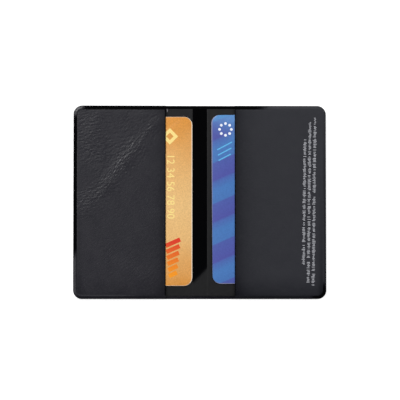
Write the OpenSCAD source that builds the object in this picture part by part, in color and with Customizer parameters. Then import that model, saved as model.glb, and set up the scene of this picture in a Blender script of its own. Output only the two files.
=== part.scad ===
// Bifold RFID blocking card sleeve of welded PVC sheet, lying open, with a card in each pocket.
// The frame is +X to the right across the spine, +Y up along it and +Z out of the pockets,
// with the origin at the middle of the underside.

/* [Card] */
// Long side of the cards that the pockets are cut for
card_l = 85.6; // [70:0.1:105]
// Short side of the cards
card_w = 53.98; // [44:0.01:66]
// Thickness of the cards
card_t = 0.76; // [0.6:0.01:1.2]
// Corner radius of the cards, as round as the photograph shows them
card_r = 4.2; // [1:0.01:6]
// Thickness of a card's printed front sheet, out of the card's thickness
card_front_t = 0.36; // [0.25:0.01:0.45]

/* [Sleeve] */
// Width of the flat spine between the two crease lines
spine_w = 7.5; // [5:0.1:12]
// How far a card can slide between the spine and the far weld
slide_room = 4.87; // [2:0.01:12]
// Room between each short end of a card and the weld
end_room = 4.8; // [1:0.1:12]
// Radius of the four outer corners
corner_r = 4.5; // [2:0.1:9]
// Width of the welded margin along the edge
weld_w = 1.4; // [0.8:0.1:3]
// Width of the pressed crease line, which parts the sheets for the fold
crease_w = 0.1; // [0.05:0.01:0.4]

/* [Sheets] */
// Thickness of the grained outer cover sheet
cover_t = 0.35; // [0.2:0.01:0.8]
// Thickness of the shielding foil laminate
foil_t = 0.1; // [0.05:0.01:0.2]
// Thickness of the smooth lining sheet
lining_t = 0.2; // [0.1:0.01:0.5]
// Thickness of the pocket sheets
pocket_t = 0.3; // [0.15:0.01:0.6]
// Gap between the foil's edge and the weld
foil_gap = 0.3; // [0.1:0.05:1]

/* [Pockets] */
// Width of the open strip between the spine and the left pocket's mouth
left_open = 13.55; // [8:0.05:20]
// Width of the open strip between the spine and the right pocket's mouth
right_open = 13.95; // [8:0.05:20]
// Free height left under and over a card in its pocket
card_clear = 0.05; // [0.02:0.01:0.2]

/* [Cards in place] */
// Gap between the left crease and the gold card's near edge
gold_gap = 0.1; // [0.1:0.05:3]
// Height of the gold card's middle above the sleeve's middle
gold_up = 0.5; // [-0.8:0.1:0.8]
// Gap between the right crease and the blue card's near edge
blue_gap = 2.4; // [1:0.05:4]
// Height of the blue card's middle above the sleeve's middle
blue_up = 1.7; // [-0.3:0.1:2.5]
// Lean of the blue card in its pocket, in degrees anticlockwise
blue_lean = 0.46; // [0:0.01:0.8]

/* [Chip, stripe and panel] */
// Long side of the chip's contact plate, along the card
plate_l = 13; // [10:0.1:15]
// Short side of the contact plate, across the card
plate_w = 11.8; // [9:0.1:13]
// Thickness of the contact plate
plate_t = 0.18; // [0.1:0.01:0.24]
// Corner radius of the contact plate
plate_r = 1.6; // [0.5:0.1:3]
// Side of the square resin block under the plate, which holds the chip
resin_w = 7.6; // [5:0.1:9]
// Depth of the resin block
resin_t = 0.36; // [0.25:0.01:0.4]
// Distance from the card's end to the middle of the plate
chip_along = 15.1; // [12:0.1:20]
// Distance from the card's top edge to the middle of the plate
chip_across = 23.9; // [18:0.1:26]
// Clearance round the chip module, the stripe and the signature panel
inlay_clear = 0.02; // [0.01:0.01:0.1]
// Distance from the card's top edge to the magnetic stripe
stripe_from_top = 4.5; // [2:0.1:8]
// Width of the magnetic stripe
stripe_w = 12.7; // [6:0.1:14]
// Thickness of the stripe and of the signature panel, let into the card's back
inlay_t = 0.05; // [0.03:0.01:0.1]
// Length of the signature panel
sign_l = 56; // [30:1:62]
// Width of the signature panel
sign_w = 9.5; // [6:0.5:12]
// Gap between the stripe and the signature panel
sign_gap = 2.6; // [1:0.1:8]

/* [Antenna] */
// Turns of the blue card's antenna coil
coil_turns = 4; // [2:1:6]
// Distance from one turn to the next
coil_pitch = 0.9; // [0.6:0.05:1.4]
// Width of the coil's conductor
coil_w = 0.3; // [0.15:0.05:0.45]
// Thickness of the coil's conductor
coil_t = 0.1; // [0.05:0.01:0.15]
// Distance from the card's edge to the middle of the outer turn
coil_in = 4; // [3.5:0.1:6]

/* [Hidden] */
$fn = 96;

// The sleeve is as wide and as high as its cards, their room, the welds and the spine make it.
half_w = weld_w + slide_room + card_w;
sleeve_w = spine_w + 2 * half_w;
sleeve_h = card_l + 2 * (end_room + weld_w);
crease_x = spine_w / 2;
sheet_x = crease_x + crease_w / 2;
spine_sheet_w = spine_w - crease_w;
left_mouth_x = crease_x + left_open;
right_mouth_x = crease_x + right_open;
least_r = 0.5;
inner_r = max(corner_r - weld_w, least_r);

// Heights of the layers, from the underside up. The folds turn about the lining's face.
foil_z = cover_t;
lining_z = foil_z + foil_t;
face_z = lining_z + lining_t;
card_z = face_z + card_clear;
pocket_z = card_z + card_t + card_clear;

// The card's own frame has its middle at the origin, its top edge at +X and its first end at +Y.
card_back_t = card_t - card_front_t;
chip_x = card_w / 2 - chip_across;
chip_y = card_l / 2 - chip_along;
stripe_x = card_w / 2 - stripe_from_top - stripe_w / 2;
sign_x = stripe_x - stripe_w / 2 - sign_gap - sign_w / 2;
cut = 1;

grained_pvc = [0.2, 0.2, 0.22];
smooth_pvc = [0.18, 0.18, 0.2];
lining_pvc = [0.14, 0.14, 0.15];
foil_silver = [0.75, 0.76, 0.78];
card_gold = [0.89, 0.68, 0.42];
card_blue = [0.3, 0.44, 0.72];
card_white = [0.93, 0.93, 0.91];
contact_gold = [0.85, 0.68, 0.32];
stripe_black = [0.1, 0.09, 0.09];
coil_copper = [0.72, 0.43, 0.25];

// A flat plate with four round corners, centred on the origin and standing on z = 0.
module round_plate(w, h, r, t) {
    linear_extrude(t) union() {
        square([w - 2 * r, h], center = true);
        square([w, h - 2 * r], center = true);
        for (sx = [-1, 1], sy = [-1, 1])
            translate([sx * (w / 2 - r), sy * (h / 2 - r)]) circle(r);
    }
}

// The sleeve's whole outline at a height, drawn in from the edge.
module full_plate(inset, r, z, t) {
    translate([0, 0, z]) round_plate(sleeve_w - 2 * inset, sleeve_h - 2 * inset, r, t);
}

// Keeps what lies between two distances from the spine's middle, on the right (1) or left (-1).
module keep_between(side, near, far) {
    intersection() {
        children();
        translate([side > 0 ? near : -far, -sleeve_h, -cut])
            cube([far - near, 2 * sleeve_h, pocket_z + pocket_t + 2 * cut]);
    }
}

// One half of a sheet, from its crease line out to the sleeve's edge.
module half_sheet(side, inset, r, z, t) {
    keep_between(side, sheet_x, sleeve_w) full_plate(inset, r, z, t);
}

// A band of the welded margin, of a given height.
module weld_band(side, near, far, top) {
    keep_between(side, near, far) difference() {
        full_plate(0, corner_r, foil_z, top - foil_z);
        full_plate(weld_w, inner_r, foil_z - cut, top - foil_z + 2 * cut);
    }
}

module cover(side) {
    color(grained_pvc) half_sheet(side, 0, corner_r, 0, cover_t);
}

module foil(side) {
    inset = weld_w + foil_gap;
    color(foil_silver) half_sheet(side, inset, max(corner_r - inset, least_r), foil_z, foil_t);
}

module lining(side) {
    color(lining_pvc) half_sheet(side, weld_w, inner_r, lining_z, lining_t);
}

// The margin where lining, pocket and cover have melted together: as high as the pocket sheet
// along the pocket, and level with the lining beside the open strip.
module weld(side, mouth_x) {
    color(grained_pvc) union() {
        weld_band(side, mouth_x, sleeve_w, pocket_z);
        weld_band(side, sheet_x, mouth_x, face_z);
    }
}

module pocket(side, mouth_x, tint) {
    color(tint) keep_between(side, mouth_x, sleeve_w)
        full_plate(0, corner_r, pocket_z, pocket_t);
}

// A straight strip of the spine, as long as asked for and centred on the sleeve's middle.
module spine_sheet(length, z, t) {
    translate([-spine_sheet_w / 2, -length / 2, z]) cube([spine_sheet_w, length, t]);
}

module cover_left() { cover(-1); }
module foil_left() { foil(-1); }
module lining_left() { lining(-1); }
module weld_left() { weld(-1, left_mouth_x); }
module pocket_left() { pocket(-1, left_mouth_x, grained_pvc); }

module cover_right() { cover(1); }
module foil_right() { foil(1); }
module lining_right() { lining(1); }
module weld_right() { weld(1, right_mouth_x); }
module pocket_right() { pocket(1, right_mouth_x, smooth_pvc); }

module cover_spine() {
    color(lining_pvc) spine_sheet(sleeve_h, 0, cover_t);
}

module foil_spine() {
    color(foil_silver) spine_sheet(sleeve_h - 2 * (weld_w + foil_gap), foil_z, foil_t);
}

module lining_spine() {
    color(lining_pvc) spine_sheet(sleeve_h - 2 * weld_w, lining_z, lining_t);
}

// The two short welds that close the spine at its ends.
module weld_spine() {
    color(lining_pvc) for (end = [-1, 1])
        translate([-spine_sheet_w / 2, end * (sleeve_h - weld_w) / 2 - weld_w / 2, foil_z])
            cube([spine_sheet_w, weld_w, face_z - foil_z]);
}

// The contact plate with the resin block under it, hanging from the card's front face.
// Grown by the clearance, it is also the tool that mills its seat.
module chip_module(grow, lift) {
    translate([chip_x, chip_y, card_t - plate_t - grow])
        round_plate(plate_w + 2 * grow, plate_l + 2 * grow, plate_r + grow, plate_t + grow + lift);
    translate([chip_x - resin_w / 2 - grow, chip_y - resin_w / 2 - grow, card_t - plate_t - resin_t - grow])
        cube([resin_w + 2 * grow, resin_w + 2 * grow, resin_t + grow]);
}

// The magnetic stripe runs the whole length of the card's back, inside its corners.
module stripe_strip(grow, drop) {
    long = card_l - 2 * card_r + 2 * grow;
    translate([stripe_x - stripe_w / 2 - grow, -long / 2, -drop])
        cube([stripe_w + 2 * grow, long, inlay_t + drop]);
}

module sign_strip(grow, drop) {
    translate([sign_x - sign_w / 2 - grow, card_l / 2 - card_r - sign_l - grow, -drop])
        cube([sign_w + 2 * grow, sign_l + 2 * grow, inlay_t + drop]);
}

// The coil's middle line is a square spiral that steps in by one pitch a turn. Corner i of it
// goes round the card from the first end's top corner, and side 0 starts one pitch further in.
function coil_x(i) = card_w / 2 - coil_in - coil_pitch * floor(i / 4);
function coil_y(i) = card_l / 2 - coil_in - coil_pitch * floor(i / 4);
function coil_corner(i) =
    i % 4 == 0 ? [coil_x(i), coil_y(i) + (i > 0 ? coil_pitch : 0)] :
    i % 4 == 1 ? [coil_x(i), -coil_y(i)] :
    i % 4 == 2 ? [-coil_x(i), -coil_y(i)] :
    [-coil_x(i), coil_y(i)];
coil_line = [for (i = [0 : 4 * coil_turns]) coil_corner(i)];

// Points beside the middle line, mitred at each corner, on one side of it.
function heading(a, b) = (b - a) / norm(b - a);
function left_of(d) = [-d[1], d[0]];
function beside(line, i, reach) =
    let (
        last = len(line) - 1,
        before = heading(line[max(i - 1, 0)], line[max(i, 1)]),
        after = heading(line[min(i, last - 1)], line[min(i + 1, last)]),
        square_turn = i > 0 && i < last
    )
    line[i] + reach * (square_turn ? left_of(before) + left_of(after) : left_of(before));

module coil_shape(w, t) {
    last = len(coil_line) - 1;
    linear_extrude(t) polygon(concat(
        [for (i = [0 : last]) beside(coil_line, i, w / 2)],
        [for (i = [last : -1 : 0]) beside(coil_line, i, -w / 2)]
    ));
}

// Sets a card down in its pocket, with its top edge towards the spine.
module on_left() {
    translate([-crease_x - gold_gap - card_w / 2, gold_up, card_z]) children();
}

module on_right() {
    translate([crease_x + blue_gap + card_w / 2, blue_up, card_z])
        rotate([0, 0, 180 + blue_lean]) children();
}

module card_front(tint) {
    color(tint) difference() {
        translate([0, 0, card_back_t]) round_plate(card_w, card_l, card_r, card_front_t);
        chip_module(inlay_clear, cut);
    }
}

module card_back(coiled) {
    color(card_white) difference() {
        round_plate(card_w, card_l, card_r, card_back_t);
        chip_module(inlay_clear, cut);
        stripe_strip(inlay_clear, cut);
        sign_strip(inlay_clear, cut);
        if (coiled) translate([0, 0, card_back_t - coil_t])
            coil_shape(coil_w + 2 * inlay_clear, coil_t + cut);
    }
}

module gold_card_front() { on_left() card_front(card_gold); }
module gold_card_back() { on_left() card_back(false); }
module gold_card_chip() { on_left() color(contact_gold) chip_module(0, 0); }
module gold_card_stripe() { on_left() color(stripe_black) stripe_strip(0, 0); }
module gold_card_signature() { on_left() color(card_white) sign_strip(0, 0); }

module blue_card_front() { on_right() card_front(card_blue); }
module blue_card_back() { on_right() card_back(true); }
module blue_card_chip() { on_right() color(contact_gold) chip_module(0, 0); }
module blue_card_stripe() { on_right() color(stripe_black) stripe_strip(0, 0); }
module blue_card_signature() { on_right() color(card_white) sign_strip(0, 0); }
module blue_card_antenna() {
    on_right() color(coil_copper)
        translate([0, 0, card_back_t - coil_t]) coil_shape(coil_w, coil_t);
}

cover_left();
foil_left();
lining_left();
weld_left();
pocket_left();
cover_spine();
foil_spine();
lining_spine();
weld_spine();
cover_right();
foil_right();
lining_right();
weld_right();
pocket_right();
gold_card_front();
gold_card_back();
gold_card_chip();
gold_card_stripe();
gold_card_signature();
blue_card_front();
blue_card_back();
blue_card_chip();
blue_card_stripe();
blue_card_signature();
blue_card_antenna();
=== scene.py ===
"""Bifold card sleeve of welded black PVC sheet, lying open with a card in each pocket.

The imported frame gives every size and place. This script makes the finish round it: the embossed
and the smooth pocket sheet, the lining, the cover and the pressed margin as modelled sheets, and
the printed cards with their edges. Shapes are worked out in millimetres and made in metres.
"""

import math

import bmesh
import bpy
import numpy as np
from bpy.props import FloatProperty, FloatVectorProperty, IntProperty, PointerProperty
from mathutils import Matrix, Vector

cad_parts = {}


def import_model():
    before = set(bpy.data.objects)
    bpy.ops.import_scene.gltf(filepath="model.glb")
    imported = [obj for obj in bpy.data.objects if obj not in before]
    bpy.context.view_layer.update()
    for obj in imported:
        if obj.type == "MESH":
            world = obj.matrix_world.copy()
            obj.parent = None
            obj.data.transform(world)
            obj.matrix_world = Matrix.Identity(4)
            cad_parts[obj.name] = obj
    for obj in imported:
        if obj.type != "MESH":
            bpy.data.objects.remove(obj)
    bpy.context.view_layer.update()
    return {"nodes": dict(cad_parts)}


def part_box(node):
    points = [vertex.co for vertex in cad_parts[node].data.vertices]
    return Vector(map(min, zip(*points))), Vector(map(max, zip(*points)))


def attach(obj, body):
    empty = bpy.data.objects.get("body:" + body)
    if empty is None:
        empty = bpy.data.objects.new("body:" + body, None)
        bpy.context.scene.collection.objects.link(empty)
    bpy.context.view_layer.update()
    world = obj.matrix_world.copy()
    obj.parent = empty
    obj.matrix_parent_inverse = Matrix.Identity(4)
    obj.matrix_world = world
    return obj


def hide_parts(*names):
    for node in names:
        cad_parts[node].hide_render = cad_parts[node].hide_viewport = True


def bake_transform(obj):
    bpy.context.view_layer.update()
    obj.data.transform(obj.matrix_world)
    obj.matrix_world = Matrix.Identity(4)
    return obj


bl_info = {
    "name": "Card sleeve",
    "version": (1, 0, 0),
    "blender": (4, 5, 0),
    "location": "3D View > Sidebar > Sleeve",
    "description": "Builds a welded PVC card sleeve with two cards on its packed frame",
    "category": "Object",
}

MM = 0.001

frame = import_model()


def linear(hex_colour):
    """The linear colour of an sRGB hex value such as 1f2a3b."""
    values = [int(hex_colour[i : i + 2], 16) / 255 for i in (0, 2, 4)]
    return tuple(v / 12.92 if v <= 0.04045 else ((v + 0.055) / 1.055) ** 2.4 for v in values)


def rgba(colour):
    """A colour with full opacity, as a node's socket takes it."""
    return (*colour, 1.0)


def metres(*place):
    """A place in millimetres, turned to metres."""
    return tuple(v * MM for v in place)


def span(node):
    """The lowest and highest corner of a node at rest, in millimetres."""
    low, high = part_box(node)
    return low / MM, high / MM


# The sleeve's sizes as the frame has them, in millimetres.
HALF_W, HALF_H, COVER_TOP = span("cover_right")[1]
CREASE = (span("cover_right")[0].x + span("cover_spine")[1].x) / 2
WELD_W = HALF_W - span("lining_right")[1].x
FOIL_INSET = HALF_W - span("foil_right")[1].x
LINING_LOW, LINING_TOP = (corner.z for corner in span("lining_right"))
POCKET_LOW, POCKET_TOP = (corner.z for corner in span("pocket_right"))
MOUTH = {-1: -span("pocket_left")[1].x, 1: span("pocket_right")[0].x}
HALF_NAME = {-1: "left", 1: "right"}
CARD_HALF = (span("gold_card_front")[1] - span("gold_card_front")[0]) / 2

# The sheets' columns lie close together over this distance on each side of a crease.
FOLD_REACH = 0.9
# The columns of a sheet start to close in with its corners this far inside them.
FAN_REACH = 3.5
# The margin's corner arcs are cut at these angles, in even steps up to a quarter turn.
ARC_STEPS = 26
ARC = [math.pi / 2 * i / ARC_STEPS for i in range(1, ARC_STEPS + 1)]
# Edges that turn further than this, in radians, are shaded as sharp.
SHARP = 0.6
# The thickness of a printed motif's ink, in metres.
INK = 0.02 * MM
# Where the printed motifs lie, in millimetres.
ROWS_TOP = (53.5, 40.5)
LOZENGE_MIDDLE = (-15.2, 33.4)
FIGURES_MIDDLE = (-14.9, 8.0)
BARS_TOP = (-13.6, -20.5)
RING_MIDDLE = (13.0, 37.0)
LINES_TOP = (12.6, 28.6)


def length_setting(name, description, millimetres):
    """A length in the settings."""
    return FloatProperty(name=name, description=description, default=millimetres * MM, unit="LENGTH")


def colour_setting(name, description, hex_colour):
    """A colour in the settings."""
    default = linear(hex_colour)
    return FloatVectorProperty(name=name, description=description, default=default, subtype="COLOR")


def count_setting(name, description, number, least):
    """How many there are of something in the settings."""
    return IntProperty(name=name, description=description, default=number, min=least, subtype="UNSIGNED")


class SleeveSettings(bpy.types.PropertyGroup):
    """Sizes and colours of the sleeve that a user would change."""

    corner_radius: length_setting("Corner radius", "Radius of the sleeve's four corners", 4.5)
    band_drop: length_setting(
        "Margin depth", "How far the welding tool presses the margin below the pocket sheet", 0.16
    )
    crease_depth: length_setting(
        "Crease depth", "Depth of the pressed line that the sleeve folds along", 0.04
    )
    wrinkle_depth: length_setting(
        "Wrinkle depth", "Depth of the deepest fine wrinkle in the left pocket sheet", 0.095
    )
    grain_width: length_setting("Grain width", "Width of one pebble of the embossed leather grain", 1.1)
    embossed_colour: colour_setting("Embossed sheet", "Colour of the embossed PVC", "16151e")
    smooth_colour: colour_setting("Smooth sheet", "Colour of the smooth PVC of the right pocket", "1a1b23")
    lining_colour: colour_setting("Lining", "Colour of the thin PVC lining", "08080a")
    print_colour: colour_setting("Pocket print", "Colour of the small print on the right pocket", "b4b5bb")


class CardSettings(bpy.types.PropertyGroup):
    """Sizes and colours of the cards that a user would change."""

    corner_radius: length_setting("Card corners", "Radius of the cards' corners", 4.2)
    # The edge band that this sets is a painted highlight along the card's edge.
    edge_width: length_setting("Bare edge", "Width of the white core that shows round the print", 0.32)
    edge_round: length_setting("Edge rounding", "Width of the rounding along the card's punched edge", 0.1)
    gold_end: colour_setting("Gold, ends", "Colour of the gold card near its short ends", "db923e")
    gold_middle: colour_setting("Gold, middle", "Colour of the gold card in the middle", "ecc182")
    blue_band: colour_setting("Blue band", "Colour of the blue card's lighter bands", "4b7aba")
    violet_band: colour_setting("Violet band", "Colour of the blue card's darker bands", "5257a4")
    dots: count_setting("Dots", "Number of white dots in the blue card's ring", 8, least=3)
    bars: count_setting("Bars", "Number of graded bars on the gold card", 6, least=2)


def smooth(value, low, high):
    """0 up to low, 1 from high on, and an even curve between them."""
    t = np.clip((value - low) / (high - low), 0, 1)
    return t * t * (3 - 2 * t)


def ridge(value, middle, width):
    """1 at a middle value, fading out to both sides of it."""
    return np.exp(-(((value - middle) / width) ** 2))


def edge_gap(x, y, radius):
    """How far inside the sleeve's rounded outline a point lies, in millimetres."""
    over_x = np.abs(x) - (HALF_W - radius)
    over_y = np.abs(y) - (HALF_H - radius)
    beyond = np.hypot(np.maximum(over_x, 0), np.maximum(over_y, 0))
    return radius - beyond - np.minimum(np.maximum(over_x, over_y), 0)


def graded(start, *stretches):
    """Places from start on. Each stretch is its end and the longest step up to it."""
    places = [start]
    for end, step in stretches:
        count = max(1, math.ceil(abs(end - places[-1]) / step - 1e-9))
        places += list(np.linspace(places[-1], end, count + 1)[1:])
    return places


def margin_rows(radius, inset, step):
    """Rows from the lower to the upper edge, close together where the corners turn."""
    arc = [HALF_H - radius + (radius - inset) * math.sin(angle) for angle in ARC]
    return [-y for y in reversed(arc)] + graded(radius - HALF_H, (HALF_H - radius, step)) + arc


def new_object(name, data):
    """An object for a mesh, curve, lamp or camera, in the scene."""
    made = bpy.data.objects.new(name, data)
    bpy.context.scene.collection.objects.link(made)
    return made


def shade(shape):
    """Shades the faces as smooth, with a sharp edge wherever they turn sharply."""
    for face in shape.faces:
        face.smooth = True
    for edge in shape.edges:
        edge.smooth = edge.calc_face_angle(0) < SHARP


def mesh_piece(name, points, faces, material, fields=None):
    """A piece from points in millimetres, with each face turned outwards. fields holds a number for
    each point under each name that the material reads."""
    mesh = bpy.data.meshes.new(name)
    mesh.from_pydata((np.asarray(points) * MM).tolist(), [], faces)
    mesh.materials.append(material)
    rest = mesh.attributes.new("rest", "FLOAT_VECTOR", "POINT")
    rest.data.foreach_set("vector", np.asarray(points, np.float32).ravel())
    for key, values in (fields or {}).items():
        field = mesh.attributes.new(key, "FLOAT", "POINT")
        field.data.foreach_set("value", np.asarray(values, np.float32).ravel())
    shape = bmesh.new()
    shape.from_mesh(mesh)
    bmesh.ops.recalc_face_normals(shape, faces=shape.faces)
    shade(shape)
    shape.to_mesh(mesh)
    shape.free()
    return new_object(name, mesh)


def shell(name, x, y, low, high, material, fields):
    """A closed piece over a grid of points, between a lower and an upper face."""
    points = np.concatenate([np.stack([x, y, z], -1).reshape(-1, 3) for z in (low, high)])
    index = np.arange(x.size).reshape(x.shape)
    a, b, c, d = index[:-1, :-1], index[:-1, 1:], index[1:, 1:], index[1:, :-1]
    ring = np.concatenate([index[0, :], index[1:, -1], index[-1, -2::-1], index[-2:0:-1, 0]])
    ahead = np.roll(ring, -1)
    under = np.stack([a, d, c, b], -1).reshape(-1, 4)
    over = np.stack([a, b, c, d], -1).reshape(-1, 4) + x.size
    wall = np.stack([ring, ahead, ahead + x.size, ring + x.size], -1)
    faces = np.concatenate([under, over, wall]).tolist()
    on_both = {key: np.tile(values.ravel(), 2) for key, values in fields.items()}
    return mesh_piece(name, points, faces, material, on_both)


def on_grid(value, x, y, gap):
    """A height or a gloss at each point. It is given as a function or as one number for all."""
    return value(x, y, gap) if callable(value) else np.full_like(x, value)


def half_sheet(name, side, columns, row_step, inset, low, high, material, gloss_and_shade=0.0, masks=None):
    """A closed sheet over one half of the sleeve, from its first column out to the outline.

    Columns run outwards from the spine. Near the outline they close in with the corners. low and
    high give the heights of the two faces and polish the gloss, which the material also darkens as
    painted shade, each as a number or from x, y and the gap to the outline. masks gives more fields
    for the material, from x and y.
    """
    radius = bpy.context.scene.sleeve.corner_radius / MM
    flat, y = np.meshgrid(columns, margin_rows(radius, inset, row_step))
    fan = HALF_W - radius - FAN_REACH
    edge = HALF_W - inset
    over = np.clip(np.abs(y) - (HALF_H - radius), 0, radius - inset)
    reach = HALF_W - radius + np.sqrt((radius - inset) ** 2 - over**2)
    x = side * np.where(flat > fan, fan + (flat - fan) * (reach - fan) / (edge - fan), flat)
    grid = (x, y, edge_gap(x, y, radius))
    fields = {"gloss_and_shade": on_grid(gloss_and_shade, *grid)}
    for key, mask in (masks or {}).items():
        fields[key] = mask(x, y)
    return shell(name, x, y, on_grid(low, *grid), on_grid(high, *grid), material, fields)


def cut_edge(gap, width=0.1):
    """How far a cut edge is rounded off at a gap from it."""
    inside = np.clip(1 - gap / width, 0, 1)
    return width * (1 - np.sqrt(1 - inside**2 * 0.98))


def fold_columns(outer, step, *edges):
    """Columns from the middle of the spine outwards, close together at the crease."""
    return graded(0, (CREASE - FOLD_REACH, 1.0), (CREASE + FOLD_REACH, 0.1), (outer, step), *edges)


def add(tree, kind, inputs=None, **settings):
    """Adds a node. kind is its class, and ShaderNode comes before one that doesn't name its family.
    inputs maps a socket's name or number to its value, to the output that feeds it or to the node
    whose first output in use does."""
    node = tree.nodes.new(kind if "Node" in kind else f"ShaderNode{kind}")
    for key, value in settings.items():
        setattr(node, key, value)
    for key, value in (inputs or {}).items():
        socket = node.inputs[key] if isinstance(key, int) else next(
            s for s in node.inputs if s.name == key and s.enabled
        )
        if isinstance(value, bpy.types.Node):
            value = next(s for s in value.outputs if s.enabled)
        if isinstance(value, bpy.types.NodeSocket):
            tree.links.new(value, socket)
        else:
            socket.default_value = value
    return node


def start_material(name):
    """An empty node material and its tree."""
    material = bpy.data.materials.new(name)
    material.use_nodes = True
    material.node_tree.nodes.clear()
    return material, material.node_tree


def close_material(material, look):
    """Gives the material the shader that its look sets, and links that to the output."""
    shader = add(material.node_tree, "BsdfPrincipled", look)
    add(material.node_tree, "OutputMaterial", {"Surface": shader})
    return material


def once(made, maker):
    """What a function makes under its own name, made only the first time."""
    return made.get(maker.__name__) or maker()


def strokes(tree, rest, heading, mask, depth, relief):
    """Fine parallel creases with a heading in degrees, where the mask attribute lets them show,
    added to a relief."""
    along = add(
        tree,
        "Mapping",
        {"Vector": rest, "Rotation": (0, 0, math.radians(heading)), "Scale": (3.0, 0.8, 1.0)},
        vector_type="TEXTURE",
    )
    noise = add(tree, "TexNoise", {"Vector": along, "Scale": 1.0, "Detail": 2.0})
    shown = add(tree, "Attribute", attribute_name=mask).outputs["Fac"]
    cut = add(tree, "Math", {0: noise, 1: shown}, operation="MULTIPLY")
    return add(tree, "Math", {0: cut, 1: depth, 2: relief}, operation="MULTIPLY_ADD")


def pvc(name, colour, grain, depth, rough, pressed_rough, polished_shade_colour, cloudiness, creases=()):
    """Plasticised PVC sheet. Its face scatters a soft grey shine off deep black, and it is nearly
    mirror smooth where the polish attribute says that a hot tool or handling smoothed it. There its
    colour is also mixed towards a near black, as painted shade for the dark reflection of the
    smoothed face. grain and depth are the width and depth of its pebbles in millimetres."""
    material, tree = start_material(name)
    rest = add(tree, "Attribute", attribute_name="rest").outputs["Vector"]
    gloss_and_shade = add(tree, "Attribute", attribute_name="gloss_and_shade").outputs["Fac"]
    # Cloudy differences in the calendered face, a few millimetres across.
    cloud = add(tree, "TexNoise", {"Vector": rest, "Scale": 1 / 5.0, "Detail": 4.0, "Roughness": 0.6})
    fine = add(tree, "TexNoise", {"Vector": rest, "Scale": 1 / 1.1, "Detail": 3.0})
    mottle = add(tree, "Math", {0: cloud, 1: fine}, operation="ADD")
    swing = add(
        tree,
        "MapRange",
        {"Value": mottle, "From Min": 0.7, "From Max": 1.3, "To Min": -cloudiness, "To Max": cloudiness},
    )
    face = add(tree, "MapRange", {"Value": gloss_and_shade, "To Min": rough, "To Max": pressed_rough})
    roughness = add(tree, "Math", {0: face, 1: swing}, operation="ADD", use_clamp=True)
    # Painted shade: where polished, the colour is mixed towards a near black that stands for the dark
    # reflection of the smoothed face.
    colours = {"Factor": gloss_and_shade, "A": rgba(colour), "B": rgba(polished_shade_colour)}
    colour_with_shade = add(tree, "Mix", colours, data_type="RGBA")
    # Pebbles with creases between them. At true size they are under a pixel, so they are drawn
    # as wide as the settings say, which still shows as a grain.
    wander = add(tree, "TexNoise", {"Vector": rest, "Scale": 1 / 2.0, "Detail": 1.0}).outputs["Color"]
    bent = add(tree, "VectorMath", {0: wander, 1: (0.8, 0.8, 0.8), 2: rest}, operation="MULTIPLY_ADD")
    pebbles = add(tree, "TexVoronoi", {"Vector": bent, "Scale": 1 / grain}, feature="DISTANCE_TO_EDGE")
    valley = add(
        tree,
        "MapRange",
        {"Value": pebbles, "From Min": 0.0, "From Max": 0.25},
        interpolation_type="SMOOTHSTEP",
    )
    height = add(tree, "Math", {0: fine, 1: 0.6, 2: valley}, operation="MULTIPLY_ADD")
    for heading, mask, deepest in creases:
        height = strokes(tree, rest, heading, mask, deepest, height)
    relief = add(
        tree,
        "MapRange",
        {"Value": gloss_and_shade, "From Min": 0.1, "From Max": 0.9, "To Min": 1.0, "To Max": 0.05},
    )
    bump = add(tree, "Bump", {"Strength": relief, "Distance": depth * MM, "Height": height})
    look = {"Base Color": colour_with_shade, "Roughness": roughness, "IOR": 1.53, "Normal": bump}
    return close_material(material, look)


def embossed_pvc():
    """Calendered and embossed with a leather grain: a soft shine broken up by shallow pebbles."""
    wanted = bpy.context.scene.sleeve
    return pvc(
        "embossed_pvc",
        wanted.embossed_colour,
        grain=wanted.grain_width / MM,
        depth=0.011,
        rough=0.46,
        pressed_rough=0.11,
        # The near black that the polished parts are painted with as shade.
        polished_shade_colour=linear("030304"),
        cloudiness=0.03,
        creases=((48, "creased", 26.0), (12, "fanned", 18.0)),
    )


def calendered_pvc():
    """Calendered between plain rollers: an even satin face with hardly any grain."""
    return pvc(
        "calendered_pvc",
        bpy.context.scene.sleeve.smooth_colour,
        grain=1.4,
        depth=0.008,
        rough=0.47,
        pressed_rough=0.11,
        # The near black that the polished parts are painted with as shade.
        polished_shade_colour=linear("030304"),
        cloudiness=0.02,
    )


def lining_film():
    """Thin cast PVC film: deeper black than the sheets, matt in the open strips and glossy along the
    spine, where the press smoothed it. Along the spine it is also painted near black, as a painted
    dark reflection."""
    return pvc(
        "lining_film",
        bpy.context.scene.sleeve.lining_colour,
        grain=1.1,
        depth=0.008,
        rough=0.41,
        pressed_rough=0.1,
        # The near black that the polished parts are painted with as shade.
        polished_shade_colour=linear("020203"),
        cloudiness=0.02,
    )


def toothed(name, colour, roughness, tooth, depth, metallic=0.0):
    """An even colour with a fine tooth on Object coordinates. tooth is how many of its grains make
    a metre along each axis, as streaks where the axes differ, and depth theirs in millimetres."""
    material, tree = start_material(name)
    place = add(tree, "TexCoord").outputs["Object"]
    grains = add(tree, "Mapping", {"Vector": place, "Scale": tooth})
    noise = add(tree, "TexNoise", {"Vector": grains, "Scale": 1.0, "Detail": 3.0})
    bump = add(tree, "Bump", {"Strength": 0.5, "Distance": depth * MM, "Height": noise})
    look = {"Base Color": rgba(colour), "Roughness": roughness, "Metallic": metallic, "Normal": bump}
    return close_material(material, look)


def highlight_pvc():
    """Pale grey with a fine tooth: a painted highlight on a small ridge beside the weld."""
    return toothed("highlight_pvc", linear("77747a"), 0.35, tooth=(1200, 1200, 1200), depth=0.01)


def foil_laminate():
    """Aluminium foil on film: bright, with the fine rolling lines of thin foil."""
    rolled = (4000, 120, 120)
    return toothed("foil_laminate", linear("c9cbcf"), 0.3, tooth=rolled, depth=0.004, metallic=1.0)


def copper_wire():
    """Etched copper conductor: warm and bright."""
    return toothed("copper_wire", linear("b4714a"), 0.35, tooth=(900, 900, 900), depth=0.004, metallic=1.0)


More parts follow.
